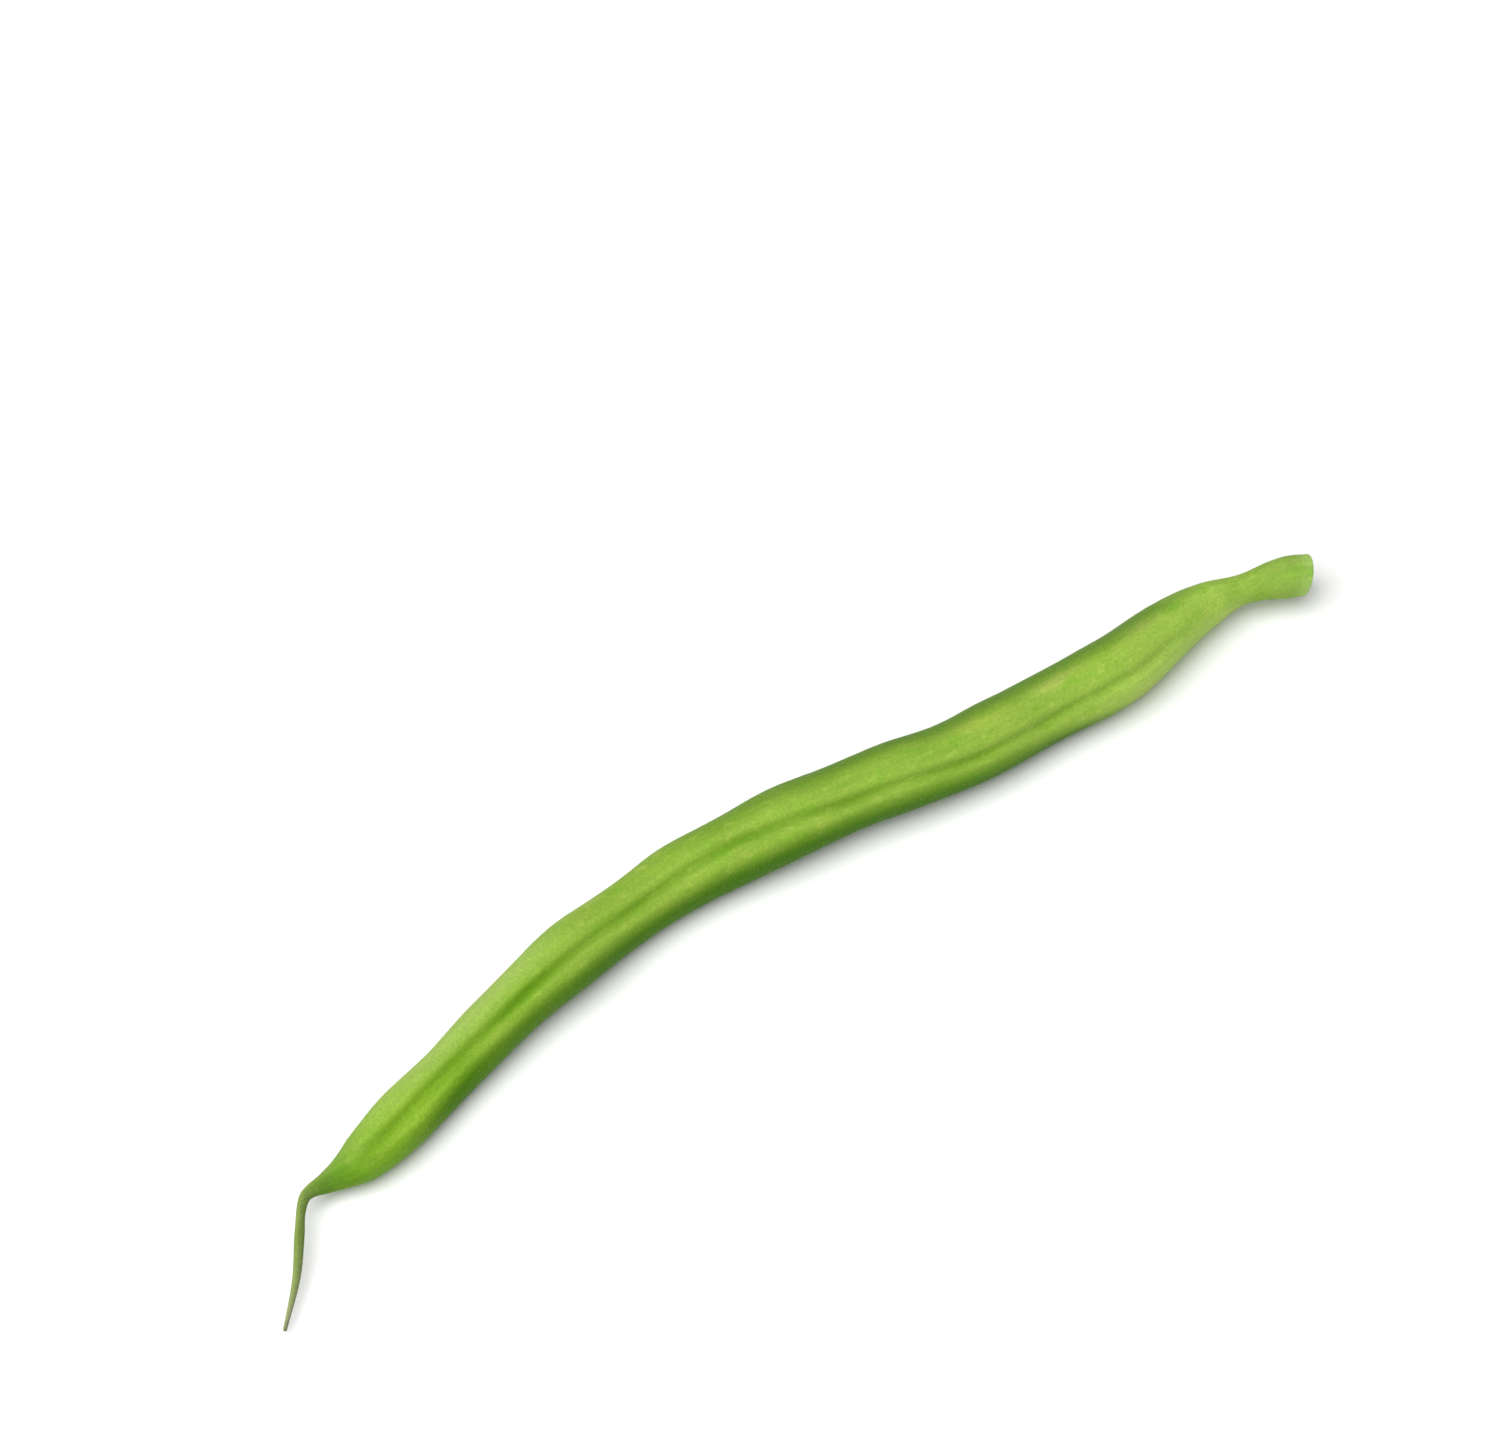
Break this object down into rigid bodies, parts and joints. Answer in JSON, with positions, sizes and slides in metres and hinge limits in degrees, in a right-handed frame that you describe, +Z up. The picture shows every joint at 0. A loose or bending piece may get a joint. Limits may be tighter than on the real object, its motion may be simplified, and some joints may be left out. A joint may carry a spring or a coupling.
{
  "type": "green bean",
  "caption": "Fresh green bean pod lying down: slender, gently bent, with a seam groove, seed swells, a cut neck and a thin dried tail.",
  "frame": {"origin": "on the surface that the pod lies on, under the middle of the box round it", "axes": "+X along the pod towards its cut neck, +Z up; the seam faces up and towards -Y"},
  "size_m": [0.1508, 0.0238, 0.0088],
  "materials": {
    "pod": "satin"
  },
  "bodies": {
    "root": {"pod": "pod"}
  },
  "joints": []
}
